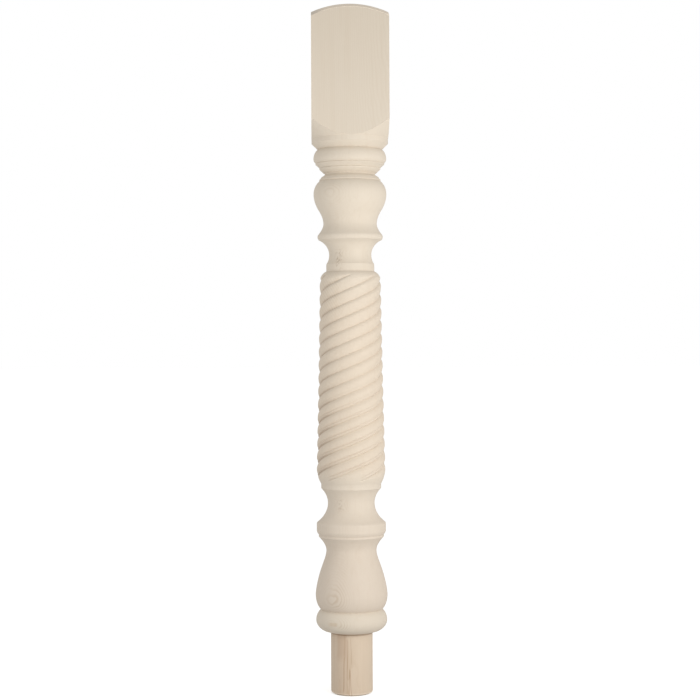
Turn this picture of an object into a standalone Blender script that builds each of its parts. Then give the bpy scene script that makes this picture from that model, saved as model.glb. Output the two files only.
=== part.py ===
"""Turned and carved wooden newel post: one solid, standing on its round spigot.

Units are metres, +Z is up and the origin is the middle of the spigot's underside.
The post is skinned row by row, from the foot to the domed head, like a blank on a lathe.
"""

import math

import bmesh
import bpy

# Sizes, from the foot upwards. A diameter is across the wood, and a length runs along the post.

SPIGOT_DIAMETER = 0.0490
SPIGOT_LENGTH = 0.0724
SPIGOT_CHAMFER = 0.0032
SEAT_WIDTH = 0.0030

FOOT_BEAD_DIAMETER = 0.0836
FOOT_BEAD_UNDERSIDE = 0.0140
FOOT_BEAD_TOPSIDE = 0.0122
FOOT_GROOVE_DIAMETER = 0.0722

LOWER_VASE_DIAMETER = 0.0846
LOWER_VASE_BOWL = 0.0173
LOWER_VASE_TAPER = 0.0519
LOWER_NECK_DIAMETER = 0.0590
LOWER_FLARE_DIAMETER = 0.0752
LOWER_FLARE = 0.0154

COLLAR_FILLET_DIAMETER = 0.0768
COLLAR_FILLET = 0.0030
COLLAR_DIAMETER = 0.0814
COLLAR_ROUND = 0.0055
COLLAR_BAND = 0.0074
COLLAR_ARRIS_DIAMETER = 0.0766
COLLAR_ARRIS = 0.0032

LOWER_COVE_DIAMETER = 0.0550
LOWER_COVE_FALL = 0.0211
LOWER_COVE_RISE = 0.0171
LOWER_COVE_LIP_DIAMETER = 0.0700

TWIST_SEAT_DIAMETER = 0.0706
TWIST_SEAT = 0.0053
TWIST_FOOT_DIAMETER = 0.0808
TWIST_FOOT_ROUND = 0.0188
TWIST_MIDDLE_DIAMETER = 0.0759
TWIST_HEAD_DIAMETER = 0.0718
TWIST_LENGTH = 0.2187
TWIST_HEAD_ROUND = 0.0114
TWIST_HEAD_LIP_DIAMETER = 0.0580

REEDS = 6
TWIST_LEAD = 0.0912
REED_BEARING = math.radians(24.2)
REED_CREST_FOOT = 0.50
REED_CREST_HEAD = 0.28
GROOVE_DEPTH_FOOT = 0.0027
GROOVE_DEPTH_HEAD = 0.0026

UPPER_FILLET_DIAMETER = 0.0564
UPPER_FILLET = 0.0088
UPPER_NECK_DIAMETER = 0.0496
UPPER_NECK_FALL = 0.0110
UPPER_NECK_RISE = 0.0175
UPPER_LIP_DIAMETER = 0.0744
THIN_FILLET_DIAMETER = 0.0768
THIN_FILLET = 0.0054

UPPER_COVE_DIAMETER = 0.0628
UPPER_COVE = 0.0129
UPPER_VASE_DIAMETER = 0.0856
UPPER_VASE_SWELL = 0.0356
UPPER_VASE_CROWN = 0.0158
UPPER_VASE_LIP_DIAMETER = 0.0724
UPPER_BEVEL_DIAMETER = 0.0684
UPPER_BEVEL = 0.0026
UPPER_GROOVE_DIAMETER = 0.0588
UPPER_GROOVE_FALL = 0.0049
UPPER_GROOVE_FLAT = 0.0006

SMALL_SLOPE_DIAMETER = 0.0708
SMALL_SLOPE = 0.0047
SMALL_BEAD_DIAMETER = 0.0720
SMALL_BEAD = 0.0016
MIDDLE_SLOPE_DIAMETER = 0.0786
MIDDLE_SLOPE = 0.0037
MIDDLE_BEAD_DIAMETER = 0.0810
MIDDLE_BEAD = 0.0018
HEAD_BEAD_DIAMETER = 0.0856
HEAD_BEAD_UNDERSIDE = 0.0055
HEAD_BEAD_TOPSIDE = 0.0109
HEAD_GROOVE_DIAMETER = 0.0754
SHOULDER_CHAMFER = 0.0071
SHOULDER_BAND = 0.0056
SHOULDER_SLOPE = math.radians(45.0)

BLOCK_WIDTH = 0.0900
BLOCK_LENGTH = 0.1570
DOME_RISE = 0.0201

# Faceting of the skin.

COLUMNS_PER_REED = 6
COLUMNS = REEDS * COLUMNS_PER_REED
GROOVE_CROWDING = 0.40
TWIST_ROWS = 48
DOME_ROWS = 3

# Looks.

PALE_SOFTWOOD = (0.78, 0.68, 0.54, 1.0)
WOOD_ROUGHNESS = 0.62
SHARP_EDGE = math.radians(28.0)


class Profile:
    """Radius and height of a turned outline, drawn from the foot upwards."""

    def __init__(self, radius, height):
        self.points = [(radius, height)]

    def top(self):
        """Return the last radius and height."""
        return self.points[-1]

    def straight(self, radius, rise):
        """Run straight to a radius, over a rise."""
        self.points.append((radius, self.top()[1] + rise))

    def swell(self, radius, rise, roundness, rows):
        """Curve like part of an ellipse and end upright, at a belly or a waist."""
        start, base = self.top()
        for row in range(1, rows + 1):
            share = math.sin(math.pi / 2 * row / rows)
            gap = arc_drop(1 - share, roundness)
            self.points.append((radius + (start - radius) * gap, base + rise * share))

    def leave(self, radius, rise, roundness, rows):
        """Curve like part of an ellipse from an upright start, at a belly or a waist."""
        start, base = self.top()
        for row in range(1, rows + 1):
            share = 1 - math.cos(math.pi / 2 * row / rows)
            gap = arc_drop(share, roundness)
            self.points.append((start + (radius - start) * gap, base + rise * share))

    def ogee(self, radius, rise, turn, first, second, rows):
        """Join a belly and a waist by an S that turns over at a share of the rise."""
        start, base = self.top()
        steep_in, steep_out = first / turn, second / (1 - turn)
        middle = steep_out / (steep_in + steep_out)
        for row in range(1, rows + 1):
            share = row / rows
            if share <= turn:
                moved = middle * (share / turn) ** first
            else:
                moved = 1 - (1 - middle) * ((1 - share) / (1 - turn)) ** second
            self.points.append((start + (radius - start) * moved, base + rise * share))


def arc_drop(share, roundness):
    """Drop of an ellipse from its widest point, as a share of the drop at the end."""
    full = 1 - math.sqrt(1 - roundness ** 2)
    return (1 - math.sqrt(1 - (roundness * share) ** 2)) / full


def foot_profile():
    """Spigot, foot bead, lower vase, collar and cove, up to the seat of the twist."""
    spigot = SPIGOT_DIAMETER / 2
    profile = Profile(spigot - SPIGOT_CHAMFER, 0.0)
    profile.straight(spigot, SPIGOT_CHAMFER)
    profile.straight(spigot, SPIGOT_LENGTH - SPIGOT_CHAMFER)
    profile.straight(spigot + SEAT_WIDTH, 0.0)
    profile.swell(FOOT_BEAD_DIAMETER / 2, FOOT_BEAD_UNDERSIDE, 0.985, 4)
    profile.leave(FOOT_GROOVE_DIAMETER / 2, FOOT_BEAD_TOPSIDE, 0.80, 3)
    profile.swell(LOWER_VASE_DIAMETER / 2, LOWER_VASE_BOWL, 0.90, 3)
    profile.ogee(LOWER_NECK_DIAMETER / 2, LOWER_VASE_TAPER, 0.78, 1.53, 1.65, 6)
    profile.ogee(LOWER_FLARE_DIAMETER / 2, LOWER_FLARE, 0.97, 1.85, 1.2, 3)
    fillet = COLLAR_FILLET_DIAMETER / 2
    profile.straight(fillet, COLLAR_FILLET * 0.4)
    profile.straight(fillet, COLLAR_FILLET * 0.6)
    profile.swell(COLLAR_DIAMETER / 2, COLLAR_ROUND, 0.70, 2)
    profile.straight(COLLAR_DIAMETER / 2, COLLAR_BAND)
    profile.straight(COLLAR_ARRIS_DIAMETER / 2, COLLAR_ARRIS)
    profile.swell(LOWER_COVE_DIAMETER / 2, LOWER_COVE_FALL, 0.65, 4)
    profile.leave(LOWER_COVE_LIP_DIAMETER / 2, LOWER_COVE_RISE, 0.60, 4)
    profile.straight(TWIST_SEAT_DIAMETER / 2, 0.0003)
    return profile


def head_profile(height):
    """Fillet over the twist, neck, upper vase and head beads, up to the block's shoulder."""
    fillet = UPPER_FILLET_DIAMETER / 2
    profile = Profile(fillet, height)
    profile.straight(fillet, UPPER_FILLET)
    profile.swell(UPPER_NECK_DIAMETER / 2, UPPER_NECK_FALL, 0.80, 2)
    profile.leave(UPPER_LIP_DIAMETER / 2, UPPER_NECK_RISE, 0.90, 4)
    fillet = THIN_FILLET_DIAMETER / 2
    profile.straight(fillet, THIN_FILLET * 0.4)
    profile.straight(fillet, THIN_FILLET * 0.6)
    profile.ogee(UPPER_COVE_DIAMETER / 2, UPPER_COVE, 0.05, 1.2, 1.65, 3)
    profile.ogee(UPPER_VASE_DIAMETER / 2, UPPER_VASE_SWELL, 0.44, 2.0, 2.0, 6)
    profile.leave(UPPER_VASE_LIP_DIAMETER / 2, UPPER_VASE_CROWN, 0.80, 3)
    profile.straight(UPPER_BEVEL_DIAMETER / 2, UPPER_BEVEL)
    profile.ogee(UPPER_GROOVE_DIAMETER / 2, UPPER_GROOVE_FALL, 0.45, 2.0, 2.0, 2)
    profile.straight(UPPER_GROOVE_DIAMETER / 2, UPPER_GROOVE_FLAT)
    profile.straight(SMALL_SLOPE_DIAMETER / 2, SMALL_SLOPE)
    profile.straight(SMALL_BEAD_DIAMETER / 2, SMALL_BEAD)
    profile.straight(MIDDLE_SLOPE_DIAMETER / 2, MIDDLE_SLOPE)
    profile.straight(MIDDLE_BEAD_DIAMETER / 2, MIDDLE_BEAD)
    profile.swell(HEAD_BEAD_DIAMETER / 2, HEAD_BEAD_UNDERSIDE, 0.80, 2)
    profile.leave(HEAD_GROOVE_DIAMETER / 2, HEAD_BEAD_TOPSIDE, 0.90, 3)
    profile.straight(BLOCK_WIDTH / 2, SHOULDER_CHAMFER)
    profile.straight(BLOCK_WIDTH / 2, SHOULDER_BAND)
    return profile


def blank_radius(climb):
    """Radius of the twist before its grooves are cut, at a height above its seat."""
    body = climb - TWIST_FOOT_ROUND
    foot, middle, head = (size / 2 for size in
                          (TWIST_FOOT_DIAMETER, TWIST_MIDDLE_DIAMETER, TWIST_HEAD_DIAMETER))
    if body < 0:
        seat = TWIST_SEAT_DIAMETER / 2
        return foot + (seat - foot) * arc_drop(-body / TWIST_FOOT_ROUND, 0.60)
    share = min(1.0, body / TWIST_LENGTH)
    barrel = (foot * (1 - share) * (1 - 2 * share) + middle * 4 * share * (1 - share)
              + head * share * (2 * share - 1))
    over = body - TWIST_LENGTH
    if over <= 0:
        return barrel
    lip = TWIST_HEAD_LIP_DIAMETER / 2
    return head + (lip - head) * arc_drop(min(1.0, over / TWIST_HEAD_ROUND), 0.90)


def reed_radius(climb, phase):
    """Radius of the reeds' cut surface; a phase of 0 is a groove, and the crest lies between."""
    share = min(1.0, max(0.0, (climb - TWIST_FOOT_ROUND) / TWIST_LENGTH))
    depth = GROOVE_DEPTH_FOOT + (GROOVE_DEPTH_HEAD - GROOVE_DEPTH_FOOT) * share
    crest = REED_CREST_FOOT + (REED_CREST_HEAD - REED_CREST_FOOT) * share
    crown = blank_radius(TWIST_FOOT_ROUND + TWIST_LENGTH * share)
    away = max(1 - phase / crest, 1 - (1 - phase) / (1 - crest))
    return crown - depth * away ** 2


def twist_climbs():
    """Heights of the twist's rows above its seat: the two end rounds and the reeded body."""
    foot = [TWIST_FOOT_ROUND * share for share in (0.0, 0.14, 0.30, 0.50, 0.75)]
    body = [TWIST_FOOT_ROUND + TWIST_LENGTH * row / TWIST_ROWS for row in range(TWIST_ROWS + 1)]
    head = [body[-1] + TWIST_HEAD_ROUND * share for share in (0.35, 0.62, 0.82, 1.0)]
    return foot + body + head


def column_share(column, crowding):
    """Share of a full turn at which a column stands, drawn towards the grooves by crowding."""
    reed, step = divmod(column, COLUMNS_PER_REED)
    share = step / COLUMNS_PER_REED
    share -= crowding * math.sin(2 * math.pi * share) / (2 * math.pi)
    return (reed + share) / REEDS


def round_row(radius, height, turn):
    """Points of a plain turned row, its first column at the bearing that turn gives."""
    row = []
    for column in range(COLUMNS):
        bearing = turn + 2 * math.pi * column_share(column, 0.0)
        row.append((radius * math.cos(bearing), radius * math.sin(bearing), height))
    return row


def twist_row(climb, seat_height):
    """Points of one row of the twist, whose columns follow the right-handed reeds upwards."""
    turn = REED_BEARING + 2 * math.pi * climb / TWIST_LEAD
    row = []
    for column in range(COLUMNS):
        share = column_share(column, GROOVE_CROWDING)
        bearing = turn + 2 * math.pi * share
        radius = min(blank_radius(climb), reed_radius(climb, share * REEDS % 1.0))
        row.append((radius * math.cos(bearing), radius * math.sin(bearing), seat_height + climb))
    return row


def block_reach(bearing):
    """Distance from the axis to the square block's face in a direction."""
    return BLOCK_WIDTH / 2 / max(abs(math.cos(bearing)), abs(math.sin(bearing)))


def dome_height(radius, crown):
    """Height of the turned dome at a radius, under the crown on the axis."""
    corner = BLOCK_WIDTH / math.sqrt(2)
    sphere = (corner ** 2 + DOME_RISE ** 2) / (2 * DOME_RISE)
    return crown - sphere + math.sqrt(sphere ** 2 - radius ** 2)


def block_rows(shoulder, turn):
    """Rows of the block: the scalloped foot of its faces, their top edge and the dome."""
    crown = shoulder + BLOCK_LENGTH
    bearings = [turn + 2 * math.pi * column / COLUMNS for column in range(COLUMNS)]
    scallop, rim = [], []
    for bearing in bearings:
        reach = block_reach(bearing)
        x, y = reach * math.cos(bearing), reach * math.sin(bearing)
        scallop.append((x, y, shoulder + (reach - BLOCK_WIDTH / 2) * math.tan(SHOULDER_SLOPE)))
        rim.append((x, y, dome_height(reach, crown)))
    rows = [scallop, rim]
    for step in range(DOME_ROWS, 0, -1):
        scale = step / (DOME_ROWS + 1)
        dome = []
        for bearing in bearings:
            reach = block_reach(bearing) * scale
            x, y = reach * math.cos(bearing), reach * math.sin(bearing)
            dome.append((x, y, dome_height(reach, crown)))
        rows.append(dome)
    return rows


def block_turn(turn):
    """Bearing of the first column in the block, moved so that a column meets each corner."""
    spacing = 2 * math.pi / COLUMNS
    corner = math.pi / 4
    return corner + round((turn - corner) / spacing) * spacing


def post_rows():
    """All rows of the post, from the spigot's end to the ring round the dome's crown."""
    foot = foot_profile()
    rows = [round_row(radius, height, REED_BEARING) for radius, height in foot.points]
    seat_height = foot.top()[1] + TWIST_SEAT
    climbs = twist_climbs()
    rows += [twist_row(climb, seat_height) for climb in climbs]
    end_turn = block_turn(REED_BEARING + 2 * math.pi * climbs[-1] / TWIST_LEAD)
    head = head_profile(seat_height + climbs[-1])
    rows += [round_row(radius, height, end_turn) for radius, height in head.points]
    return rows + block_rows(head.top()[1], end_turn)


def skin(rows):
    """Return a closed mesh: the rows joined by bands, with a middle point in each end."""
    mesh = bmesh.new()
    rings = [[mesh.verts.new(point) for point in row] for row in rows]
    for lower, upper in zip(rings, rings[1:]):
        for column in range(COLUMNS):
            after = (column + 1) % COLUMNS
            mesh.faces.new((lower[column], lower[after], upper[after], upper[column]))
    foot = mesh.verts.new((0.0, 0.0, rows[0][0][2]))
    crown_height = dome_height(0.0, head_crown(rows))
    crown = mesh.verts.new((0.0, 0.0, crown_height))
    for column in range(COLUMNS):
        after = (column + 1) % COLUMNS
        mesh.faces.new((rings[0][after], rings[0][column], foot))
        mesh.faces.new((rings[-1][column], rings[-1][after], crown))
    bmesh.ops.triangulate(mesh, faces=mesh.faces[:], quad_method="SHORT_EDGE")
    bmesh.ops.recalc_face_normals(mesh, faces=mesh.faces[:])
    return mesh


def head_crown(rows):
    """Height of the dome's crown, worked out from the last ring below it."""
    x, y, height = rows[-1][0]
    return height + dome_height(0.0, 0.0) - dome_height(math.hypot(x, y), 0.0)


def softwood():
    """Pale bare softwood."""
    material = bpy.data.materials.new("softwood")
    material.use_nodes = True
    shader = material.node_tree.nodes["Principled BSDF"]
    shader.inputs["Base Color"].default_value = PALE_SOFTWOOD
    shader.inputs["Roughness"].default_value = WOOD_ROUGHNESS
    shader.inputs["Metallic"].default_value = 0.0
    return material


def newel_post():
    """Build the post as one named object."""
    mesh = bpy.data.meshes.new("newel_post")
    skinned = skin(post_rows())
    skinned.to_mesh(mesh)
    skinned.free()
    mesh.shade_smooth()
    mesh.set_sharp_from_angle(angle=SHARP_EDGE)
    mesh.materials.append(softwood())
    post = bpy.data.objects.new("newel_post", mesh)
    bpy.context.scene.collection.objects.link(post)
    return post


def main():
    """Clear the scene and build the post."""
    for thing in list(bpy.data.objects):
        bpy.data.objects.remove(thing, do_unlink=True)
    newel_post()


main()
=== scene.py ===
"""Looks of a turned and carved newel post in bare pale softwood.

The post is drawn as a turner would work it: outlines are spun round the axis, the twist is screwed
up from a ring and its reeds are cut, and the square block is sawn from the turned head.
Lengths are in metres, +Z is up and the post stands on the origin.
"""

import logging
import math
from collections.abc import Iterator
from contextlib import contextmanager
from dataclasses import dataclass, field
from enum import Enum

import bmesh
import bpy
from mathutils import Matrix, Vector


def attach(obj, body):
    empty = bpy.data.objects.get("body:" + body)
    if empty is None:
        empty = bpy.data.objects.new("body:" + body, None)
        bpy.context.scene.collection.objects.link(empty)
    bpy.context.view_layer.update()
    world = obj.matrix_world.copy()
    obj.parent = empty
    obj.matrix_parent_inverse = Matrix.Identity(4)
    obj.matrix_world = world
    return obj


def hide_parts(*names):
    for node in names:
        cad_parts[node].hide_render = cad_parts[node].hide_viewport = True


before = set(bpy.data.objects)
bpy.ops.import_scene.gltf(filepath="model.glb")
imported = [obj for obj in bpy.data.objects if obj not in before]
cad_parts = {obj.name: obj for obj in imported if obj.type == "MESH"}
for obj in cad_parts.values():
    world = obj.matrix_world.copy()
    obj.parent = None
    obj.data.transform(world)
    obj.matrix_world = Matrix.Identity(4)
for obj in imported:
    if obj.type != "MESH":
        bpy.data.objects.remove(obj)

LOG = logging.getLogger("newel_post")
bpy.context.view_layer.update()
MERGE_DISTANCE = 0.000015

Point = tuple[float, float]
Span = tuple[float, float, float, float]
Colour = tuple[float, float, float]
Socket = bpy.types.NodeSocket

BELOW: Point = (-2.0, -1.0)
ABOVE: Point = (1.0, 2.0)
EVERYWHERE: Span = (*BELOW, *ABOVE)
BLEND_SOCKETS = {"RGBA": (6, 7, 2), "VECTOR": (4, 5, 1)}


class WoodFace(Enum):
    """How a surface of the post was worked."""

    TURNED = "turned"
    PLANED = "planed"


def deselect_everything() -> None:
    """Leave no object selected or active, so that an operator acts on the new piece alone."""
    if bpy.context.mode != "OBJECT":
        bpy.ops.object.mode_set(mode="OBJECT")
    bpy.ops.object.select_all(action="DESELECT")
    bpy.context.view_layer.objects.active = None


def take_up(piece: bpy.types.Object) -> None:
    """Select one piece and make it active, for the next operators."""
    deselect_everything()
    piece.select_set(True)
    bpy.context.view_layer.objects.active = piece


@contextmanager
def editing(piece: bpy.types.Object, kind: str = "VERT") -> Iterator[None]:
    """Edit one piece's mesh with all of it selected, and leave edit mode afterwards.

    Args:
        piece: The object to edit.
        kind: What is selected, VERT, EDGE or FACE.

    Yields:
        Nothing, while the piece is in edit mode.
    """
    take_up(piece)
    bpy.ops.object.mode_set(mode="EDIT")
    bpy.ops.mesh.select_mode(type=kind)
    bpy.ops.mesh.select_all(action="SELECT")
    yield
    bpy.ops.object.mode_set(mode="OBJECT")


def limited(share: float) -> float:
    """Keep a share from 0 to 1."""
    return min(1.0, max(0.0, share))


def eased(share: float) -> float:
    """Make a share start and end gently."""
    return share * share * (3 - 2 * share)


def arc_drop(share: float, roundness: float) -> float:
    """Drop of an ellipse away from its widest point.

    Args:
        share: Way along the arc from the widest point, from 0 to 1.
        roundness: Part of the quarter ellipse that is used, over 0 and under 1.

    Returns:
        The drop as a share of the drop at the arc's end.
    """
    full = 1 - math.sqrt(1 - roundness ** 2)
    return (1 - math.sqrt(max(0.0, 1 - (roundness * share) ** 2))) / full


@dataclass
class Outline:
    """Half of a turned section, drawn from the foot upwards as radius and height.

    Attributes:
        points: Radius and height of each point so far.
        step: Longest gap between the points of a curve.
    """

    points: list[Point]
    step: float = 0.0016

    @property
    def top(self) -> Point:
        """The last radius and height."""
        return self.points[-1]

    def rows_for(self, radius: float, rise: float) -> int:
        """Count the rows that a curve to a radius needs, at least three."""
        return max(3, math.ceil(math.hypot(radius - self.top[0], rise) / self.step))

    def straight(self, radius: float, rise: float) -> None:
        """Run straight to a radius while rising."""
        self.points.append((radius, self.top[1] + rise))

    def swell(self, radius: float, rise: float, roundness: float) -> None:
        """Curve like part of an ellipse and end upright, at a belly or a waist.

        Args:
            radius: Radius at the end.
            rise: Height that the curve covers.
            roundness: Part of the quarter ellipse that is used.
        """
        start, base = self.top
        rows = self.rows_for(radius, rise)
        for row in range(1, rows + 1):
            share = math.sin(math.pi / 2 * row / rows)
            gap = arc_drop(1 - share, roundness)
            self.points.append((radius + (start - radius) * gap, base + rise * share))

    def leave(self, radius: float, rise: float, roundness: float) -> None:
        """Curve like part of an ellipse from an upright start, at a belly or a waist.

        Args:
            radius: Radius at the end.
            rise: Height that the curve covers.
            roundness: Part of the quarter ellipse that is used.
        """
        start, base = self.top
        rows = self.rows_for(radius, rise)
        for row in range(1, rows + 1):
            share = 1 - math.cos(math.pi / 2 * row / rows)
            gap = arc_drop(share, roundness)
            self.points.append((start + (radius - start) * gap, base + rise * share))

    def ogee(self, radius: float, rise: float, turn: float, first: float, second: float) -> None:
        """Join a belly and a waist by an S.

        Args:
            radius: Radius at the end.
            rise: Height that the curve covers.
            turn: Share of the rise at which the S turns over.
            first: Power of the curve before the turn.
            second: Power of the curve after the turn.
        """
        start, base = self.top
        steep_in, steep_out = first / turn, second / (1 - turn)
        middle = steep_out / (steep_in + steep_out)
        rows = self.rows_for(radius, rise)
        for row in range(1, rows + 1):
            share = row / rows
            if share <= turn:
                moved = middle * (share / turn) ** first
            else:
                moved = 1 - (1 - middle) * ((1 - share) / (1 - turn)) ** second
            self.points.append((start + (radius - start) * moved, base + rise * share))


@dataclass
class TurnedPiece:
    """A length of the post that is the same all round.

    Attributes:
        name: Name of the mesh object.
        outline: Its half section.
        bearing: Direction in which the section is drawn before it is spun.
        columns: Number of columns round the axis.
    """

    name: str
    outline: Outline
    bearing: float
    columns: int

    def place(self, point: Point) -> Vector:
        """Place of an outline point in space, at this piece's bearing."""
        radius, height = point
        return Vector((radius * math.cos(self.bearing), radius * math.sin(self.bearing), height))

    def build(self) -> bpy.types.Object:
        """Draw the section point by point and spin it round the axis.

        Returns:
            The spun piece.
        """
        deselect_everything()
        places = [self.place(point) for point in self.outline.points]
        bpy.ops.mesh.primitive_plane_add(size=0.001, location=(0.0, 0.0, 0.0))
        piece = bpy.context.active_object
        piece.name = self.name
        with editing(piece):
            bpy.ops.mesh.merge(type="CENTER")
            bpy.ops.transform.translate(value=places[0])
            for before, after in zip(places, places[1:]):
                bpy.ops.mesh.extrude_vertices_move(TRANSFORM_OT_translate={"value": after - before})
            bpy.ops.mesh.select_all(action="SELECT")
            bpy.ops.mesh.spin(steps=self.columns, angle=2 * math.pi, center=(0.0, 0.0, 0.0),
                              axis=(0.0, 0.0, 1.0), use_auto_merge=True)
            bpy.ops.mesh.select_all(action="SELECT")
            bpy.ops.mesh.remove_doubles(threshold=MERGE_DISTANCE)
        return piece


@dataclass
class FootTurning:
    """Spigot, foot bead, lower vase, collar and cove, up to the seat of the twist."""

    spigot_radius: float = 0.0245
    spigot_length: float = 0.0724
    spigot_chamfer: float = 0.0032
    seat_width: float = 0.0030
    bead_radius: float = 0.0418
    bead_underside: float = 0.0140
    bead_topside: float = 0.0122
    bead_groove_radius: float = 0.0361
    vase_radius: float = 0.0423
    vase_bowl: float = 0.0173
    vase_taper: float = 0.0519
    neck_radius: float = 0.0295
    flare_radius: float = 0.0376
    flare: float = 0.0154
    fillet_radius: float = 0.0384
    fillet: float = 0.0030
    collar_radius: float = 0.0407
    collar_round: float = 0.0055
    collar_band: float = 0.0074
    arris_radius: float = 0.0383
    arris: float = 0.0032
    cove_radius: float = 0.0275
    cove_fall: float = 0.0211
    cove_rise: float = 0.0171
    cove_lip_radius: float = 0.0350
    lean: float = 0.0003

    def outline(self, seat_radius: float) -> Outline:
        """Draw the half section.

        Args:
            seat_radius: Radius of the fillet that the twist stands on.

        Returns:
            The section from the spigot's end to the twist's seat.
        """
        section = Outline([(0.0, 0.0)])
        for share in (0.35, 0.70, 1.0):
            section.straight((self.spigot_radius - self.spigot_chamfer) * share, 0.0)
        section.swell(self.spigot_radius, self.spigot_chamfer, 0.95)
        section.straight(self.spigot_radius, self.spigot_length - self.spigot_chamfer)
        section.straight(self.spigot_radius + self.seat_width, 0.0)
        section.swell(self.bead_radius, self.bead_underside, 0.985)
        section.leave(self.bead_groove_radius, self.bead_topside, 0.80)
        section.swell(self.vase_radius, self.vase_bowl, 0.90)
        section.ogee(self.neck_radius, self.vase_taper, 0.78, 1.53, 1.65)
        section.ogee(self.flare_radius, self.flare, 0.97, 1.85, 1.2)
        section.swell(self.fillet_radius, self.fillet * 0.4, 0.95)
        section.leave(self.fillet_radius - self.lean, self.fillet * 0.6, 0.95)
        section.swell(self.collar_radius, self.collar_round, 0.70)
        section.straight(self.collar_radius, self.collar_band)
        section.leave(self.arris_radius, self.arris, 0.70)
        section.swell(self.cove_radius, self.cove_fall, 0.65)
        section.leave(self.cove_lip_radius, self.cove_rise, 0.60)
        section.straight(seat_radius, self.lean)
        return section


@dataclass
class HeadTurning:
    """Fillet over the twist, neck, upper vase, head beads, and the blank of the block."""

    fillet_radius: float = 0.0282
    fillet: float = 0.0088
    neck_radius: float = 0.0248
    neck_fall: float = 0.0110
    neck_rise: float = 0.0175
    lip_radius: float = 0.0372
    thin_fillet_radius: float = 0.0384
    thin_fillet: float = 0.0054
    cove_radius: float = 0.0314
    cove: float = 0.0129
    vase_radius: float = 0.0428
    vase_swell: float = 0.0356
    vase_crown: float = 0.0158
    vase_lip_radius: float = 0.0362
    bevel_radius: float = 0.0342
    bevel: float = 0.0026
    groove_radius: float = 0.0294
    groove_fall: float = 0.0049
    groove_flat: float = 0.0006
    small_step_radius: float = 0.0310
    small_slope_radius: float = 0.0354
    small_slope: float = 0.0047
    small_bead_radius: float = 0.0360
    small_bead: float = 0.0016
    middle_slope_radius: float = 0.0393
    middle_slope: float = 0.0037
    middle_bead_radius: float = 0.0405
    middle_bead: float = 0.0018
    head_bead_radius: float = 0.0428
    head_bead_underside: float = 0.0055
    head_bead_topside: float = 0.0109
    head_groove_radius: float = 0.0377
    shoulder_chamfer: float = 0.0071
    shoulder_band: float = 0.0056
    shoulder_radius: float = 0.04495
    block_length: float = 0.1570
    block_corner: float = 0.0636
    dome_rise: float = 0.0201
    sawing_waste: float = 0.0020
    quirk: float = 0.0010
    quirk_depth: float = 0.0006
    quirk_lean: float = 0.0001
    fillet_lean: float = 0.0004
    shoulder_arris: float = 0.0003
    blank_rows: int = 6
    dome_rows: int = 12

    def turned(self, lip_radius: float, height: float) -> Outline:
        """Draw the part below the block.

        Args:
            lip_radius: Radius at the top of the twist.
            height: Height of the top of the twist.

        Returns:
            The section up to the top of the shoulder's band.
        """
        section = Outline([(lip_radius, height)])
        section.straight(self.fillet_radius, 0.0)
        section.straight(self.fillet_radius, self.fillet)
        section.swell(self.neck_radius, self.neck_fall, 0.80)
        section.leave(self.lip_radius, self.neck_rise, 0.90)
        section.swell(self.thin_fillet_radius, self.thin_fillet * 0.62, 0.40)
        section.leave(self.thin_fillet_radius - self.fillet_lean, self.thin_fillet * 0.38, 0.90)
        section.ogee(self.cove_radius, self.cove, 0.05, 1.2, 1.65)
        section.ogee(self.vase_radius, self.vase_swell, 0.44, 2.0, 2.0)
        section.leave(self.vase_lip_radius, self.vase_crown - self.quirk, 0.80)
        self.cut_quirk(section)
        section.leave(self.bevel_radius, self.bevel, 0.80)
        section.ogee(self.groove_radius, self.groove_fall, 0.45, 2.0, 2.0)
        section.straight(self.groove_radius, self.groove_flat)
        section.straight(self.small_step_radius, self.small_slope * 0.13)
        section.straight(self.small_slope_radius, self.small_slope * 0.87)
        section.swell(self.small_bead_radius, self.small_bead - self.quirk / 2, 0.80)
        self.cut_quirk(section)
        section.straight(self.middle_slope_radius, self.middle_slope - self.quirk / 2)
        section.swell(self.middle_bead_radius, self.middle_bead - self.quirk / 2, 0.70)
        self.cut_quirk(section)
        section.swell(self.head_bead_radius, self.head_bead_underside - self.quirk / 2, 0.80)
        section.leave(self.head_groove_radius, self.head_bead_topside, 0.90)
        section.straight(self.shoulder_radius - self.shoulder_arris,
                         self.shoulder_chamfer - self.shoulder_arris)
        section.straight(self.shoulder_radius, self.shoulder_arris)
        section.straight(self.shoulder_radius, self.shoulder_band)
        return section

    def cut_quirk(self, section: Outline) -> None:
        """Cut the narrow groove that parts two mouldings, on top of the section so far."""
        radius = section.top[0]
        section.straight(radius - self.quirk_depth, self.quirk / 2)
        section.straight(radius - self.quirk_lean, self.quirk / 2)

    def outline(self, lip_radius: float, height: float) -> Outline:
        """Draw the whole head with the round blank that the block is sawn from.

        Args:
            lip_radius: Radius at the top of the twist.
            height: Height of the top of the twist.

        Returns:
            The section up to the dome's crown on the axis.
        """
        section = self.turned(lip_radius, height)
        shoulder = section.top[1]
        blank = self.block_corner + self.sawing_waste
        widening = blank - self.shoulder_radius
        for row in range(1, self.blank_rows + 1):
            section.straight(self.shoulder_radius + widening * row / self.blank_rows,
                             widening / self.blank_rows)
        crown = shoulder + self.block_length
        sphere = (self.block_corner ** 2 + self.dome_rise ** 2) / (2 * self.dome_rise)
        for row in range(self.dome_rows, -1, -1):
            radius = blank * row / self.dome_rows
            level = crown - sphere + math.sqrt(sphere ** 2 - radius ** 2)
            section.points.append((radius, level))
        return section


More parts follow.
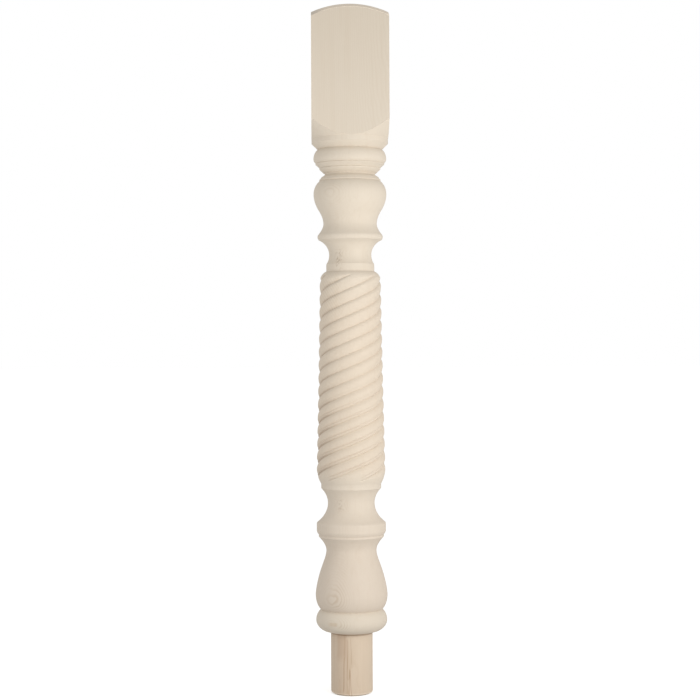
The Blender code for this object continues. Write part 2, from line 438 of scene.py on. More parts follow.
@dataclass
class Twist:
    """The barrel of right-handed reeds between its two end rounds.

    Attributes:
        seat_radius: Radius of the fillet that it stands on, which is seat high.
        foot_radius: Radius of the barrel at its lower end, over the foot_round.
        middle_radius: Radius half way up.
        head_radius: Radius at its upper end, under the head_round.
        length: Length of the barrel between its rounds.
        lip_radius: Radius at the very top.
        reeds: Number of reeds.
        lead: Climb of a reed in one turn.
        bearing: Bearing of the first groove at the seat.
        crest_foot: Place of a reed's crest across it at the barrel's foot.
        crest_head: The same at its head.
        groove_depth_foot: Depth of the grooves at the barrel's foot.
        groove_depth_head: The same at its head.
        groove_power: Sharpness of the grooves.
        ledge_depth: Depth of the ledge under each reed low down, behind its lifted edge.
        ledge_lift: How far that edge stands up again.
        ledge_start: Share of a reed, from the groove below, where the ledge's step begins.
        ledge_inner: The same for the foot of the step.
        ledge_outer: The same for the edge, where the groove begins.
        ledge_from: Climbs where the ledge begins to grow and where it is full.
        ledge_power: Power of the fall from the edge into the groove.
        shade_over: Reach of a groove's painted shade up a reed's upper side, as a share of a reed.
        shade_under: The same on a reed's lower side.
        shade_growth: How much further the latter reaches where the ledge is full.
        step_reach: Reach of the painted shade at the foot of the step.
        crowding: How closely the columns gather at the grooves.
        columns: Columns of the mesh round the axis.
        rows: Its rows.
    """

    seat_radius: float = 0.0353
    seat: float = 0.0053
    foot_radius: float = 0.0404
    foot_round: float = 0.0188
    middle_radius: float = 0.03795
    head_radius: float = 0.0359
    length: float = 0.2187
    head_round: float = 0.0114
    lip_radius: float = 0.0290
    reeds: int = 6
    lead: float = 0.0912
    bearing: float = math.radians(24.2)
    crest_foot: float = 0.50
    crest_head: float = 0.28
    groove_depth_foot: float = 0.0026
    groove_depth_head: float = 0.0025
    groove_power: float = 2.0
    ledge_depth: float = 0.0013
    ledge_lift: float = 0.0003
    ledge_start: float = 0.385
    ledge_inner: float = 0.230
    ledge_outer: float = 0.150
    ledge_from: Point = (0.136, 0.062)
    ledge_power: float = 1.6
    shade_over: float = 0.10
    shade_under: float = 0.09
    shade_growth: float = 0.04
    step_reach: float = 0.060
    crowding: float = 0.55
    columns: int = 216
    rows: int = 192

    @property
    def height(self) -> float:
        """Height of the twist from its seat to its lip."""
        return self.foot_round + self.length + self.head_round

    @property
    def end_bearing(self) -> float:
        """Bearing of the first groove at the lip."""
        return self.bearing + 2 * math.pi * self.height / self.lead

    def blank_radius(self, climb: float) -> float:
        """Radius before the grooves are cut.

        Args:
            climb: Height above the seat.

        Returns:
            The radius of the turned blank there.
        """
        body = climb - self.foot_round
        if body < 0:
            gap = arc_drop(-body / self.foot_round, 0.60)
            return self.foot_radius + (self.seat_radius - self.foot_radius) * gap
        share = min(1.0, body / self.length)
        barrel = (self.foot_radius * (1 - share) * (1 - 2 * share)
                  + self.middle_radius * 4 * share * (1 - share)
                  + self.head_radius * share * (2 * share - 1))
        over = body - self.length
        if over <= 0:
            return barrel
        gap = arc_drop(min(1.0, over / self.head_round), 0.90)
        return self.head_radius + (self.lip_radius - self.head_radius) * gap

    def reed_radius(self, climb: float, phase: float) -> float:
        """Radius of the cut reeds.

        Args:
            climb: Height above the seat.
            phase: Way across a reed, from one groove at 0 to the next at 1.

        Returns:
            The radius of the reeds' surface there.
        """
        share = limited((climb - self.foot_round) / self.length)
        depth = self.groove_depth_foot + (self.groove_depth_head - self.groove_depth_foot) * share
        crown = self.blank_radius(self.foot_round + self.length * share)
        crest = self.crest_foot + (self.crest_head - self.crest_foot) * share
        away = max(1 - phase / crest, 1 - (1 - phase) / (1 - crest))
        drop = depth * away ** self.groove_power
        if phase > crest:
            drop += (self.ledge_drop(1 - phase, depth) - drop) * self.ledge_share(climb)
        return crown - drop

    def ledge_share(self, climb: float) -> float:
        """How far the ledge under each reed has grown, from 0 high up to 1 low down."""
        start, full = self.ledge_from
        return eased(limited((start - climb) / (start - full)))

    def ledge_drop(self, away: float, depth: float) -> float:
        """Drop of a reed's lower side with a ledge cut in it.

        Args:
            away: Distance from the groove below, as a share of a reed.
            depth: Depth of the groove.

        Returns:
            The drop below the reed's crown.
        """
        if away > self.ledge_start:
            return 0.0
        if away > self.ledge_inner:
            share = (self.ledge_start - away) / (self.ledge_start - self.ledge_inner)
            return self.ledge_depth * eased(share)
        outer = self.ledge_depth - self.ledge_lift
        if away > self.ledge_outer:
            share = (self.ledge_inner - away) / (self.ledge_inner - self.ledge_outer)
            return self.ledge_depth - self.ledge_lift * eased(share)
        share = (self.ledge_outer - away) / self.ledge_outer
        return outer + (depth - outer) * share ** self.ledge_power

    def step_shade(self, climb: float, phase: float) -> float:
        """Painted shade along the foot of the ledge's step, 1 at the step low down on the twist."""
        offset = (1 - phase - self.ledge_inner) / self.step_reach
        return self.ledge_share(climb) * math.exp(-offset * offset)

    def groove_shade(self, climb: float, phase: float) -> float:
        """Painted shade in the bottom of a groove, which reaches wider below a reed than above it."""
        reach = self.shade_under + self.shade_growth * self.ledge_share(climb)
        return max(math.exp(-(phase / self.shade_over) ** 2), math.exp(-((1 - phase) / reach) ** 2))

    def crowd(self, climb: float, phase: float) -> float:
        """Shift of a column towards the nearest groove, and none at the tube's ends."""
        inward = min(climb / self.foot_round, (self.height - climb) / self.head_round, 1.0)
        return -self.crowding * max(0.0, inward) * math.sin(2 * math.pi * phase) / (2 * math.pi)

    def build(self) -> bpy.types.Object:
        """Screw a ring up round the axis and cut the reeds in the tube.

        Returns:
            The open tube of the twist.
        """
        deselect_everything()
        bpy.ops.mesh.primitive_circle_add(vertices=self.columns, radius=self.seat_radius,
                                          location=(0.0, 0.0, 0.0),
                                          rotation=(0.0, 0.0, self.bearing))
        tube = bpy.context.active_object
        tube.name = "twist"
        bpy.ops.object.transform_apply(location=True, rotation=True, scale=True)
        screw = tube.modifiers.new("climb", "SCREW")
        screw.axis = "Z"
        screw.angle = self.end_bearing - self.bearing
        screw.screw_offset = self.height
        screw.steps = self.rows
        screw.render_steps = self.rows
        screw.use_merge_vertices = False
        bpy.ops.object.modifier_apply(modifier=screw.name)
        for name in ("step", "groove"):
            tube.data.attributes.new(name, "FLOAT", "POINT")
        step, shade = tube.data.attributes["step"], tube.data.attributes["groove"]
        for vertex in tube.data.vertices:
            climb = vertex.co.z
            bearing = math.atan2(vertex.co.y, vertex.co.x)
            turn = self.bearing + 2 * math.pi * climb / self.lead
            phase = (bearing - turn) / (2 * math.pi) * self.reeds % 1.0
            shift = self.crowd(climb, phase)
            bearing += shift * 2 * math.pi / self.reeds
            phase = (phase + shift) % 1.0
            blank, cut = self.blank_radius(climb), self.reed_radius(climb, phase)
            radius = min(blank, cut)
            # Store the painted shade for the bottoms of the grooves and the feet of the ledges' steps.
            if cut < blank:
                shade.data[vertex.index].value = self.groove_shade(climb, phase)
                step.data[vertex.index].value = self.step_shade(climb, phase)
            vertex.co.x = radius * math.cos(bearing)
            vertex.co.y = radius * math.sin(bearing)
        return tube


@dataclass
class Graph:
    """Short forms for adding shader nodes.

    Attributes:
        tree: The node tree that they are added to.
    """

    tree: bpy.types.NodeTree

    def add(self, kind: str) -> bpy.types.Node:
        """Add a node of a kind and return it."""
        return self.tree.nodes.new(kind)

    def feed(self, socket: Socket, value: object) -> None:
        """Link an output to a socket, or set the socket to a plain value or an opaque colour."""
        if isinstance(value, bpy.types.NodeSocket):
            self.tree.links.new(value, socket)
        elif socket.type == "RGBA":
            socket.default_value = (*value, 1.0)
        else:
            socket.default_value = value

    def math(self, operation: str, first: object, second: object = 0.0) -> Socket:
        """Work out one number from two."""
        node = self.add("ShaderNodeMath")
        node.operation = operation
        self.feed(node.inputs[0], first)
        self.feed(node.inputs[1], second)
        return node.outputs[0]

    def product(self, first: object, *others: object) -> object:
        """Multiply any count of numbers."""
        for other in others:
            first = self.math("MULTIPLY", first, other)
        return first

    def vector(self, operation: str, first: object, second: object = (0.0, 0.0, 0.0),
               output: str = "Vector") -> Socket:
        """Work out a vector, or a number such as a length, from one or two vectors."""
        node = self.add("ShaderNodeVectorMath")
        node.operation = operation
        self.feed(node.inputs[0], first)
        self.feed(node.inputs[1], second)
        return node.outputs[output]

    def attribute(self, name: str) -> Socket:
        """Read a number stored in the mesh."""
        node = self.add("ShaderNodeAttribute")
        node.attribute_name = name
        return node.outputs["Fac"]

    def blend(self, share: object, first: object, second: object, mode: str = "MIX",
              data: str = "RGBA") -> Socket:
        """Blend two colours or vectors by a share."""
        node = self.add("ShaderNodeMix")
        node.data_type = data
        if data == "RGBA":
            node.blend_type = mode
        lower, upper, output = BLEND_SOCKETS[data]
        self.feed(node.inputs[0], share)
        self.feed(node.inputs[lower], first)
        self.feed(node.inputs[upper], second)
        return node.outputs[output]

    def range(self, value: object, low: float, high: float, start: float = 0.0,
              end: float = 1.0) -> Socket:
        """Turn a range of values smoothly into another, clamped at both ends."""
        node = self.add("ShaderNodeMapRange")
        node.interpolation_type = "SMOOTHSTEP"
        self.feed(node.inputs["Value"], value)
        for name, number in (("From Min", low), ("From Max", high), ("To Min", start), ("To Max", end)):
            node.inputs[name].default_value = number
        return node.outputs["Result"]

    def window(self, value: object, span: Span) -> Socket:
        """Turn a value into 1 in the middle of a span and 0 outside it."""
        start, full, fading, gone = span
        return self.product(self.range(value, start, full), self.range(value, gone, fading))


@dataclass
class WoodGraph(Graph):
    """The nodes of a wood, with the place that is coloured.

    Attributes:
        place: Object coordinates.
        side: Their distance to the right.
        height: Their height.
    """

    place: Socket = field(init=False)
    side: Socket = field(init=False)
    height: Socket = field(init=False)

    def __post_init__(self) -> None:
        """Read the place once for all patterns."""
        self.place = self.add("ShaderNodeTexCoord").outputs["Object"]
        axes = self.add("ShaderNodeSeparateXYZ")
        self.feed(axes.inputs[0], self.place)
        self.side, self.height = axes.outputs["X"], axes.outputs["Z"]

    def noise(self, scale: tuple[float, float, float], detail: float,
              output: str = "Fac") -> Socket:
        """Noise whose scale differs by axis."""
        node = self.add("ShaderNodeTexNoise")
        self.feed(node.inputs["Vector"], self.vector("MULTIPLY", self.place, scale))
        node.inputs["Scale"].default_value = 1.0
        node.inputs["Detail"].default_value = detail
        return node.outputs[output]

    def wobble(self, scale: tuple[float, float, float], reach: float) -> Socket:
        """Level drift of the place to and fro, by noise."""
        drift = self.vector("SUBTRACT", self.noise(scale, 1.0, "Color"), (0.5, 0.5, 0.5))
        return self.vector("MULTIPLY", drift, (reach, reach, 0.0))


@dataclass(frozen=True)
class Tint:
    """A part of the surface where the wood has another tone, or where painted shade or light is laid on
    it.

    Attributes:
        tone: What the wood's colour is multiplied by.
        up: Heights where the part starts, is full, begins to fade and has gone.
        across: The same to the right of the axis.
        mask: Name of a mesh attribute that thins it out, or an empty name.
    """

    tone: Colour
    up: Span = EVERYWHERE
    across: Span = EVERYWHERE
    mask: str = ""

    def share(self, graph: WoodGraph) -> Socket:
        """Wire up how much of the tint shows."""
        share = graph.product(graph.window(graph.height, self.up),
                              graph.window(graph.side, self.across))
        return graph.product(share, graph.attribute(self.mask)) if self.mask else share


@dataclass(frozen=True)
class GrainLine:
    """A dark line of the grain that climbs the spigot.

    Attributes:
        side: Its distance to the right at the foot.
        lean: How far it moves to the right for each metre it climbs.
        span: Heights where it starts and ends.
        width: Distance at which it has faded out.
        strength: How dark it is, from 0 to 1.
        fade: Share of the height over which each end fades.
    """

    side: float
    lean: float
    span: Point
    width: float
    strength: float
    fade: float = 0.12

    def share(self, graph: WoodGraph, across: Socket) -> Socket:
        """Wire up the line's darkness.

        Args:
            graph: The material's nodes.
            across: Distance to the right, with the waves of the grain.

        Returns:
            0 away from the line, up to its strength in the middle.
        """
        low, high = self.span
        end = self.fade * (high - low)
        offset = graph.math("SUBTRACT", across, graph.product(graph.height, self.lean))
        near = (self.side - self.width, self.side, self.side, self.side + self.width)
        return graph.product(graph.window(offset, near), self.strength,
                             graph.window(graph.height, (low, low + end, high - end, high)))


@dataclass(frozen=True)
class FigureSpot:
    """A place where the growth rings show on the worked surface.

    Attributes:
        bearing: Direction from the post's axis, in degrees to the right of the front.
        height: Height of its middle.
        spread: Reach round the post and along it.
        strength: How clearly the rings show there, from 0 to 1.
    """

    bearing: float
    height: float
    spread: Point
    strength: float

    def at(self, place: Vector) -> float:
        """Strength of the figure at a point.

        Args:
            place: A point on the post.

        Returns:
            The spot's strength there, fading away from its middle.
        """
        bearing = math.atan2(place.x, -place.y)
        across = (bearing - math.radians(self.bearing)) / self.spread[0]
        along = (place.z - self.height) / self.spread[1]
        return self.strength * math.exp(-(across ** 2 + along ** 2) / 2)


@dataclass(frozen=True)
class Softwood:
    """Bare sanded softwood, with growth rings round a pith outside the post.

    Attributes:
        early: Colour of the pale early wood.
        late: Colour of the darker rings.
        streak: Colour of the darker fibre streaks.
        planed: Painted shade on the block's planed faces, darkest at their head where less lamp light
            falls, and fading towards their foot.
        heart_tint: Tint of the heartwood on the spigot and of its grain lines.
        torn_tint: Tint of the torn specks.
        hatch_tint: Tint of the cutter marks.
        tints: Tints of the turned parts, some of them painted shade or painted light.
        pith: Bearing and distance of the pith from the post's axis, above the spigot.
        spigot_pith: The same on the spigot.
        pith_change: Heights between which the one gives way to the other.
        ring: Width of a yearly ring.
        ring_phase: Share of a ring by which the rings are moved outwards.
        taper: Narrowing of the rings along the post.
        roughness: Roughness of the sanded surface.
        spots: Places where the figure is clear.
        grain_lines: Dark lines on the spigot.
        plain_figure: Strength of the figure elsewhere.
        planed_figure: Its strength on the planed faces.
        clear_from: How nearly a surface lies along the rings where they begin to show, and where
            they show in full.
    """

    early: Colour = (0.675, 0.600, 0.500)
    late: Colour = (0.585, 0.490, 0.375)
    streak: Colour = (0.600, 0.500, 0.385)
    planed: Colour = (0.910, 0.905, 0.897)
    heart_tint: Colour = (0.720, 0.600, 0.520)
    torn_tint: Colour = (0.800, 0.760, 0.720)
    hatch_tint: Colour = (0.955, 0.935, 0.900)
    tints: dict[str, Tint] = field(default_factory=lambda: {
        "twist": Tint((1.0, 0.972, 0.950), (0.245, 0.270, 0.44, 0.52)),
        # Painted shade in the bottoms of the grooves, on the twist's shaded left side.
        "grooves": Tint((0.780, 0.745, 0.720), across=(*BELOW, -0.037, -0.012), mask="groove"),
        # Painted shade at the foot of each ledge's step, on the left and middle of the twist.
        "painted_ledge_shade": Tint((0.910, 0.885, 0.860), across=(*BELOW, 0.004, 0.024), mask="step"),
        # Painted shade over the turnings above the foot bead, full on the lower vase and fading out
        # upwards.
        "foot": Tint((0.974, 0.950, 0.950), (0.0990, 0.0995, 0.13, 0.30)),
        # Painted light on the top of the dome, lightening all but its left corner.
        "dome": Tint((1.28, 1.26, 1.24), (0.785, 0.788, *ABOVE), (-0.042, -0.026, *ABOVE)),
        "bead patch": Tint((0.930, 0.880, 0.820), (0.0830, 0.0845, 0.0870, 0.0885),
                           (-0.0290, -0.0245, -0.0195, -0.0165)),
        "spigot": Tint((0.985, 0.915, 0.855), (*BELOW, 0.0722, 0.0735)),
        # Painted shadow in the corner at the top of the spigot, under the seat of the foot bead.
        "spigot_shoulder_shadow": Tint((0.660, 0.590, 0.530), (0.0698, 0.0714, 0.0722, 0.0735)),
        # Painted light on the spigot's bottom chamfer, lifting the floor's contact shadow there.
        "spigot_end_light": Tint((1.200, 1.250, 1.300), (*BELOW, 0.0026, 0.0036)),
    })
    pith: Point = (math.radians(57.0), 0.160)
    spigot_pith: Point = (math.radians(91.0), 0.048)
    pith_change: Point = (0.0745, 0.0725)
    ring: float = 0.00115
    ring_phase: float = 0.30
    taper: float = -0.018
    roughness: float = 0.62
    spots: tuple[FigureSpot, ...] = (
        FigureSpot(-25.0, 0.112, (0.18, 0.009), 0.74),
        FigureSpot(-20.0, 0.128, (0.13, 0.005), 0.34),
        FigureSpot(-15.0, 0.145, (0.07, 0.004), 0.34),
        FigureSpot(-14.0, 0.081, (0.10, 0.006), 1.0),
        FigureSpot(-26.0, 0.219, (0.16, 0.007), 0.35),
        FigureSpot(-30.0, 0.512, (0.14, 0.009), 0.35),
        FigureSpot(-30.0, 0.594, (0.16, 0.007), 0.4),
        FigureSpot(-7.0, 0.012, (0.20, 0.026), 1.0),
    )
    grain_lines: tuple[GrainLine, ...] = (
        GrainLine(-0.0094, 0.0, (0.040, 0.078), 0.0026, 0.42),
        GrainLine(-0.0065, 0.0, (0.044, 0.078), 0.0008, 0.80),
        GrainLine(-0.0047, 0.026, (0.016, 0.070), 0.0008, 0.85),
        GrainLine(-0.0088, 0.0525, (0.002, 0.050), 0.0010, 0.85),
        GrainLine(-0.0026, 0.042, (-0.004, 0.034), 0.0008, 0.80),
        GrainLine(0.0008, -0.060, (-0.004, 0.034), 0.0008, 0.80),
        GrainLine(0.0010, 0.0, (0.036, 0.070), 0.0008, 0.50),
        GrainLine(-0.0125, 0.0, (-0.004, 0.022), 0.0022, 0.36),
    )
    plain_figure: float = 0.14
    planed_figure: float = 0.16
    clear_from: Point = (0.74, 0.96)

    def pith_place(self, pith: Point) -> Vector:
        """Place of a pith on the ground plane, from its bearing and distance."""
        bearing, distance = pith
        return Vector((distance * math.cos(bearing), distance * math.sin(bearing), 0.0))

    def mark_figure(self, mesh: bpy.types.Mesh) -> None:
        """Store at each vertex how clearly the growth rings show there.

        Rings are clear where they lie nearly along the surface, and fine where it cuts across them.

        Args:
            mesh: The finished mesh of the post.
        """
        figure = mesh.attributes.new("figure", "FLOAT", "POINT")
        pith, spigot_pith = self.pith_place(self.pith), self.pith_place(self.spigot_pith)
        above, below = self.pith_change
        faint, clear = self.clear_from
        for vertex in mesh.vertices:
            low = limited((above - vertex.co.z) / (above - below))
            outward = (vertex.co - pith.lerp(spigot_pith, low)).xy.normalized()
            along = abs(vertex.normal.xy.dot(outward))
            share = limited((along - faint) / (clear - faint))
            spots = sum(spot.at(vertex.co) for spot in self.spots)
            figure.data[vertex.index].value = share * min(1.0, self.plain_figure + spots)

    def material(self, face: WoodFace) -> bpy.types.Material:
        """Make the finish for one kind of face.

        Args:
            face: How the face was worked.

        Returns:
            A material whose pattern reads Object coordinates and the mesh's attributes alone.
        """
        material = bpy.data.materials.new(f"softwood_{face.value}")
        material.use_nodes = True
        shader = material.node_tree.nodes["Principled BSDF"]
        shader.inputs["Roughness"].default_value = self.roughness
        shader.inputs["Specular IOR Level"].default_value = 0.25
        graph = WoodGraph(material.node_tree)
        planed = face is WoodFace.PLANED
        figure = self.planed_figure if planed else graph.attribute("figure")
        colour = graph.blend(graph.product(self.rings(graph), figure), self.early, self.late)
        fibre = graph.noise((900.0, 900.0, 22.0), 2.0)
        vein = graph.noise((190.0, 190.0, 5.0), 2.0)
        cloud = graph.noise((14.0, 14.0, 6.0), 2.0)
        for noise, low, high, most in ((fibre, 0.50, 0.72, 0.16), (vein, 0.50, 0.70, 0.14),
                                       (cloud, 0.35, 0.75, 0.12)):
            colour = graph.blend(graph.range(noise, low, high, 0.0, most), colour, self.streak)
        if planed:
            # Painted shade: the planed faces grow darker towards the head, where less lamp light
            # reaches them.
            tone = graph.range(graph.height, 0.62, 0.82, 0.45, 1.0)
            colour = graph.blend(tone, colour, self.planed, "MULTIPLY")
        else:
            colour = self.tint(graph, colour)
        graph.feed(shader.inputs["Base Color"], colour)
        relief = graph.add("ShaderNodeBump")
        relief.inputs["Strength"].default_value = 0.20
        relief.inputs["Distance"].default_value = 0.0002
        graph.feed(relief.inputs["Height"], fibre)
        graph.feed(shader.inputs["Normal"], relief.outputs["Normal"])
        return material

    def tint(self, graph: WoodGraph, colour: Socket) -> Socket:
        """Tint the turned wood along the post, painted shade and painted light included.

        Args:
            graph: The material's nodes.
            colour: Colour of the plain wood.

        Returns:
            The tinted colour.
        """
        shares = [(tint.share(graph), tint.tone) for tint in self.tints.values()]
        shares += [(self.heart(graph), self.heart_tint), (self.torn_grain(graph), self.torn_tint),
                   (self.hatch(graph), self.hatch_tint)]
        for share, tone in shares:
            colour = graph.blend(share, colour, tone, "MULTIPLY")
        return colour

    def torn_grain(self, graph: WoodGraph) -> Socket:
        """Specks of torn grain on the left of the neck and of the lower cove.

        Args:
            graph: The material's nodes.

        Returns:
            0 on sound wood and 1 in a speck.
        """
        neck = graph.window(graph.height, (0.494, 0.500, 0.514, 0.522))
        cove = graph.product(graph.window(graph.height, (0.210, 0.216, 0.226, 0.232)), 0.5)
        across = graph.window(graph.side, (-0.019, -0.015, -0.012, -0.008))
        specks = graph.range(graph.noise((520.0, 520.0, 340.0), 1.0), 0.52, 0.62)
        return graph.product(across, graph.math("ADD", neck, cove), specks)

    def heart(self, graph: WoodGraph) -> Socket:
        """Browner heartwood on the left of the spigot, with fine dark lines at its edge.

        Args:
            graph: The material's nodes.

        Returns:
            0 in sapwood and 1 in the darkest line.
        """
        wander = graph.range(graph.noise((60.0, 60.0, 22.0), 1.0), 0.3, 0.7, 0.0014, 0.0034)
        across = graph.math("ADD", graph.side, wander)
        band = graph.product(graph.window(across, (-0.0180, -0.0140, -0.0050, -0.0028)),
                             graph.range(graph.height, 0.036, 0.050, 0.20, 0.46))
        fine = graph.range(graph.noise((800.0, 800.0, 8.0), 1.0), 0.44, 0.60, 0.3, 1.0)
        left = graph.product(graph.range(across, -0.004, -0.009, 0.0, 0.15), fine)
        darkness = graph.math("MAXIMUM", band, left)
        for line in self.grain_lines:
            darkness = graph.math("MAXIMUM", darkness, line.share(graph, across))
        return graph.product(graph.window(graph.height, self.tints["spigot"].up), darkness)

    def hatch(self, graph: WoodGraph) -> Socket:
        """Faint slanting cutter marks on the upper left of the twist.

        Args:
            graph: The material's nodes.

        Returns:
            0 away from the marks and 1 in the darkest mark.
        """
        slant = graph.vector("DOT_PRODUCT", graph.place, (0.87, 0.0, 0.50), "Value")
        wave = graph.math("FRACT", graph.math("DIVIDE", slant, 0.0026))
        return graph.product(graph.window(wave, (0.20, 0.50, 0.50, 0.85)),
                             graph.window(graph.height, (0.425, 0.455, 0.475, 0.505)),
                             graph.range(graph.side, -0.006, -0.020))

    def rings(self, graph: WoodGraph) -> Socket:
        """Growth rings as a share of late wood.

        Args:
            graph: The material's nodes.

        Returns:
            0 in early wood and 1 in the darkest late wood.
        """
        drift = graph.wobble((14.0, 14.0, 5.0), 0.006)
        quiver = graph.wobble((120.0, 120.0, 70.0), 0.0012)
        moved = graph.vector("ADD", graph.vector("ADD", graph.place, drift), quiver)
        middle = graph.blend(graph.range(graph.height, *self.pith_change),
                             self.pith_place(self.pith), self.pith_place(self.spigot_pith),
                             data="VECTOR")
        level = graph.vector("MULTIPLY", graph.vector("SUBTRACT", moved, middle), (1.0, 1.0, 0.0))
        radius = graph.math("ADD", graph.vector("LENGTH", level, output="Value"),
                            graph.product(graph.height, self.taper))
        count = graph.math("ADD", graph.math("DIVIDE", radius, self.ring), self.ring_phase)
        return graph.window(graph.math("FRACT", count), (0.30, 0.85, 0.87, 1.0))


@dataclass
class NewelPost:
    """The whole post as one closed mesh.

    Attributes:
        foot: Turnings below the twist.
        twist: The reeded barrel.
        head: Turnings above the twist, with the block's blank.
        wood: The finish.
        block_width: Side of the square block.
        arris: Width of the eased edges of the block.
        flatness: How nearly in a flat face a point lies that counts as on it.
        corner_length: Shortest edge that counts as a corner edge of the block.
        rim_angle: Smallest angle between the faces at the rim.
        rim_merge: Distance at which points along those edges become one.
        smooth_angle: Sharpest angle between faces that is shaded smooth.
    """

    foot: FootTurning = field(default_factory=FootTurning)
    twist: Twist = field(default_factory=Twist)
    head: HeadTurning = field(default_factory=HeadTurning)
    wood: Softwood = field(default_factory=Softwood)
    block_width: float = 0.0900
    arris: float = 0.0005
    flatness: float = 0.00002
    corner_length: float = 0.01
    rim_angle: float = 0.5
    rim_merge: float = 0.0009
    smooth_angle: float = math.radians(32.0)

    def build(self) -> bpy.types.Object:
        """Turn, carve and saw the post, and finish its surfaces.

        Returns:
            The finished post, at the origin.
        """
        foot_outline = self.foot.outline(self.twist.seat_radius)
        foot_outline.straight(self.twist.seat_radius, self.twist.seat)
        seat_height = foot_outline.top[1]
        foot = TurnedPiece("foot", foot_outline, self.twist.bearing, self.twist.columns).build()
        tube = self.twist.build()
        with editing(tube):
            bpy.ops.transform.translate(value=(0.0, 0.0, seat_height))
        head_outline = self.head.outline(self.twist.lip_radius, seat_height + self.twist.height)
        head = TurnedPiece("head", head_outline, self.twist.end_bearing,
                           self.twist.columns).build()
        post = self.join([foot, tube, head])
        shoulder = self.head.turned(0.0, seat_height + self.twist.height).top[1]
        self.saw_block(post, shoulder)
        self.ease_edges(post, shoulder)
        self.dress(post, shoulder)
        return post

    def join(self, pieces: list[bpy.types.Object]) -> bpy.types.Object:
        """Join the lengths of the post into one closed skin.

        Args:
            pieces: The lengths, whose end rings meet.

        Returns:
            The joined post.
        """
        deselect_everything()
        for piece in pieces:
            piece.select_set(True)
        bpy.context.view_layer.objects.active = pieces[0]
        bpy.ops.object.join()
        post = bpy.context.active_object
        post.name = "turned_post"
        with editing(post):
            bpy.ops.mesh.remove_doubles(threshold=MERGE_DISTANCE)
            bpy.ops.mesh.normals_make_consistent(inside=False)
        return post

    def select_faces(self, post: bpy.types.Object, lowest: float) -> None:
        """Select the faces above a height, in edit mode.

        Args:
            post: The post, in edit mode.
            lowest: Height that a selected face's middle is above.
        """
        mesh = bmesh.from_edit_mesh(post.data)
        bpy.ops.mesh.select_all(action="DESELECT")
        for face in mesh.faces:
            face.select = face.calc_center_median().z > lowest
        mesh.select_flush_mode()
        bmesh.update_edit_mesh(post.data)

    def saw_block(self, post: bpy.types.Object, shoulder: float) -> None:
        """Saw the four flat faces of the block from the round blank.

        Args:
            post: The turned post.
            shoulder: Height of the top of the shoulder's band.
        """
        with editing(post, "FACE"):
            for across, along in ((1, 0), (0, 1), (-1, 0), (0, -1)):
                normal = Vector((across, along, 0))
                self.select_faces(post, shoulder)
                bpy.ops.mesh.bisect(plane_co=normal * self.block_width / 2, plane_no=normal,
                                    use_fill=True, clear_outer=True, clear_inner=False)

    def on_face(self, place: Vector) -> int:
        """Count the block's flat faces that a point lies on: 1 on a face, 2 on a corner edge."""
        return sum(abs(abs(part) - self.block_width / 2) < self.flatness for part in place.xy)

    def ease_edges(self, post: bpy.types.Object, shoulder: float) -> None:
        """Take the sharpness off the block's corner edges and its rim under the dome.

        Args:
            post: The sawn post.
            shoulder: Height of the top of the shoulder's band.
        """
        with editing(post, "EDGE"):
            mesh = bmesh.from_edit_mesh(post.data)
            bpy.ops.mesh.select_all(action="DESELECT")
            rim = shoulder + self.head.block_length / 2
            for edge in mesh.edges:
                ends = [vertex.co for vertex in edge.verts]
                sides = min(self.on_face(end) for end in ends)
                corner = sides == 2 and abs(ends[0].z - ends[1].z) > self.corner_length
                under_dome = sides >= 1 and min(end.z for end in ends) > rim
                edge.select = corner or (under_dome and edge.calc_face_angle(0.0) > self.rim_angle)
            mesh.select_flush_mode()
            bmesh.update_edit_mesh(post.data)
            bpy.ops.mesh.remove_doubles(threshold=self.rim_merge)
            bpy.ops.mesh.bevel(offset=self.arris, segments=3, affect="EDGES")

    def dress(self, post: bpy.types.Object, shoulder: float) -> None:
        """Shade the post and give its turned and planed faces their finishes.

        Args:
            post: The post with all its shape.
            shoulder: Height of the top of the shoulder's band.
        """
        take_up(post)
        bpy.ops.object.shade_smooth_by_angle(angle=self.smooth_angle)
        post.data.materials.clear()
        for face in WoodFace:
            post.data.materials.append(self.wood.material(face))
        mesh = bmesh.new()
        mesh.from_mesh(post.data)
        for face in mesh.faces:
            middle = face.calc_center_median()
            flat = middle.z > shoulder and self.on_face(middle) == 1 and abs(face.normal.z) < 0.01
            face.material_index = 1 if flat else 0
            if flat:
                for edge in face.edges:
                    edge.smooth = False
        mesh.to_mesh(post.data)
        mesh.free()
        self.wood.mark_figure(post.data)


@dataclass(frozen=True)
class SoftLamp:
    """A broad soft lamp before the post, at the height of its middle.

    Attributes:
        name: Name of the lamp.
        bearing: Direction from the post's axis, to the right of the front.
        power: Power in watts.
        distance: From the post's axis.
        height: Height of its middle.
        size: Its diameter.
        colour: Colour of its light.
    """

    name: str
    bearing: float
    power: float
    distance: float = 0.95
    height: float = 0.40
    size: float = 0.50
    colour: Colour = (1.0, 0.985, 0.96)

    def hang(self) -> None:
        """Hang the lamp so that it shines level on the post, unseen by the camera."""
        lamp = bpy.data.lights.new(self.name, "AREA")
        lamp.shape = "DISK"
        lamp.size = self.size
        lamp.energy = self.power
        lamp.color = self.colour
        stand = bpy.data.objects.new(self.name, lamp)
        stand.location = (math.sin(self.bearing) * self.distance,
                          -math.cos(self.bearing) * self.distance, self.height)
        stand.rotation_euler = (math.pi / 2, 0.0, self.bearing)
        stand.visible_camera = False
        bpy.context.scene.collection.objects.link(stand)


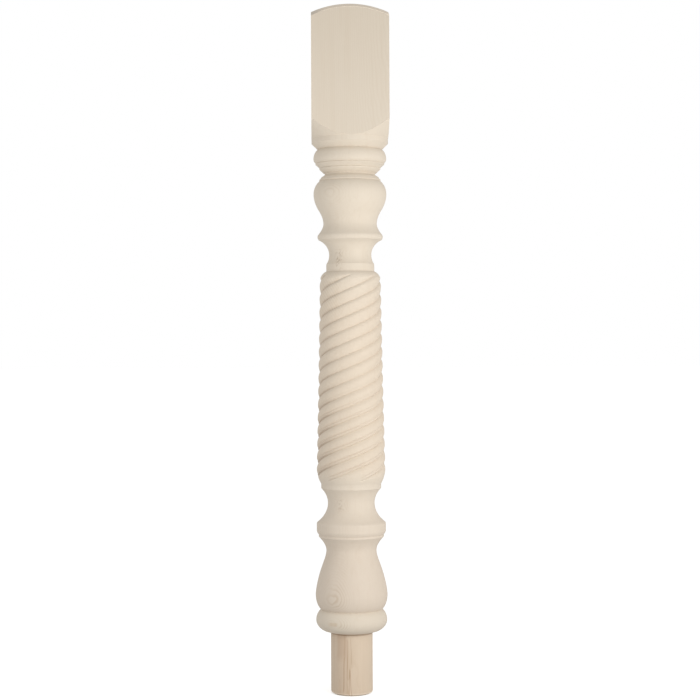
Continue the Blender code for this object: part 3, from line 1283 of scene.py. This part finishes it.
@dataclass
class Studio:
    """Pale floor, white surroundings, soft lamps and the camera.

    Attributes:
        focal_length: Camera lens in millimetres, on a 36 mm sensor.
        distance: From the camera to the post's axis.
        height: Height of the camera.
        azimuth: Turn of the camera round the post, to the left of its front.
        aim: Height on the axis that the middle of the picture looks at.
        roll: Lean of the camera.
        floor_size: Side of the floor.
        floor_glow: Glow of the floor as the camera sees it.
        far_glow: Glow of the floor away from the post, as the post is lit by it.
        surround: Strength of the light from all round.
        lamps: The soft lamps.
    """

    focal_length: float = 85.63
    distance: float = 1.959
    height: float = 0.4065
    azimuth: float = math.radians(1.3)
    aim: Point = (-0.0007, 0.4030)
    roll: float = math.radians(-0.242)
    floor_size: float = 60.0
    floor_glow: float = 0.55
    far_glow: float = 0.36
    surround: float = 0.65
    lamps: tuple[SoftLamp, ...] = (
        SoftLamp("right_lamp", math.radians(38.0), 4.5),
        SoftLamp("left_lamp", math.radians(-50.0), 1.2),
    )

    def build(self) -> None:
        """Set up the floor, the surroundings, the lamps and the camera."""
        self.lay_floor()
        self.whiten_world()
        for lamp in self.lamps:
            lamp.hang()
        self.place_camera()
        bpy.context.scene.view_settings.view_transform = "Standard"

    def lay_floor(self) -> None:
        """Lay the plain pale floor."""
        deselect_everything()
        bpy.ops.mesh.primitive_plane_add(size=self.floor_size, location=(0.0, 0.0, 0.0))
        floor = bpy.context.active_object
        floor.name = "floor"
        material = bpy.data.materials.new("pale_floor")
        material.use_nodes = True
        shader = material.node_tree.nodes["Principled BSDF"]
        shader.inputs["Base Color"].default_value = (0.76, 0.76, 0.76, 1.0)
        shader.inputs["Roughness"].default_value = 1.0
        shader.inputs["Specular IOR Level"].default_value = 0.0
        shader.inputs["Emission Color"].default_value = (1.0, 1.0, 1.0, 1.0)
        graph = Graph(material.node_tree)
        seen = graph.add("ShaderNodeLightPath").outputs["Is Camera Ray"]
        place = graph.add("ShaderNodeTexCoord").outputs["Object"]
        reach = graph.vector("LENGTH", place, output="Value")
        lit = graph.product(graph.range(reach, 0.5, 1.1, 0.0, self.far_glow),
                            graph.math("SUBTRACT", 1.0, seen))
        glow = graph.math("ADD", lit, graph.product(seen, self.floor_glow))
        graph.feed(shader.inputs["Emission Strength"], glow)
        floor.data.materials.append(material)

    def whiten_world(self) -> None:
        """Surround the post with even white light, and show plain white behind it."""
        world = bpy.data.worlds.new("studio")
        bpy.context.scene.world = world
        world.use_nodes = True
        graph = Graph(world.node_tree)
        backing = world.node_tree.nodes["Background"]
        backing.inputs["Color"].default_value = (1.0, 1.0, 1.0, 1.0)
        seen = graph.add("ShaderNodeLightPath").outputs["Is Camera Ray"]
        strength = graph.range(seen, 0.0, 1.0, self.surround, 1.0)
        graph.feed(backing.inputs["Strength"], strength)

    def place_camera(self) -> None:
        """Place the camera at the photograph's viewing angle."""
        data = bpy.data.cameras.new("camera")
        data.sensor_width = 36.0
        data.lens = self.focal_length
        camera = bpy.data.objects.new("camera", data)
        back = Vector((-math.sin(self.azimuth), -math.cos(self.azimuth), 0.0))
        side = Vector((math.cos(self.azimuth), -math.sin(self.azimuth), 0.0))
        camera.location = back * self.distance + Vector((0.0, 0.0, self.height))
        target = side * self.aim[0] + Vector((0.0, 0.0, self.aim[1]))
        turn = (target - camera.location).to_track_quat("-Z", "Y").to_euler()
        camera.rotation_euler = (turn.x, turn.y - self.roll, turn.z)
        bpy.context.scene.collection.objects.link(camera)
        bpy.context.scene.camera = camera


def main() -> None:
    """Build the post and the studio, and report the piece."""
    logging.basicConfig(level=logging.INFO, format="%(message)s")
    Studio().build()
    post = NewelPost().build()
    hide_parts("newel_post")
    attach(post, "root")
    LOG.info("%s: %d vertices, %d faces", post.name, len(post.data.vertices),
             len(post.data.polygons))


if __name__ == "__main__":
    main()
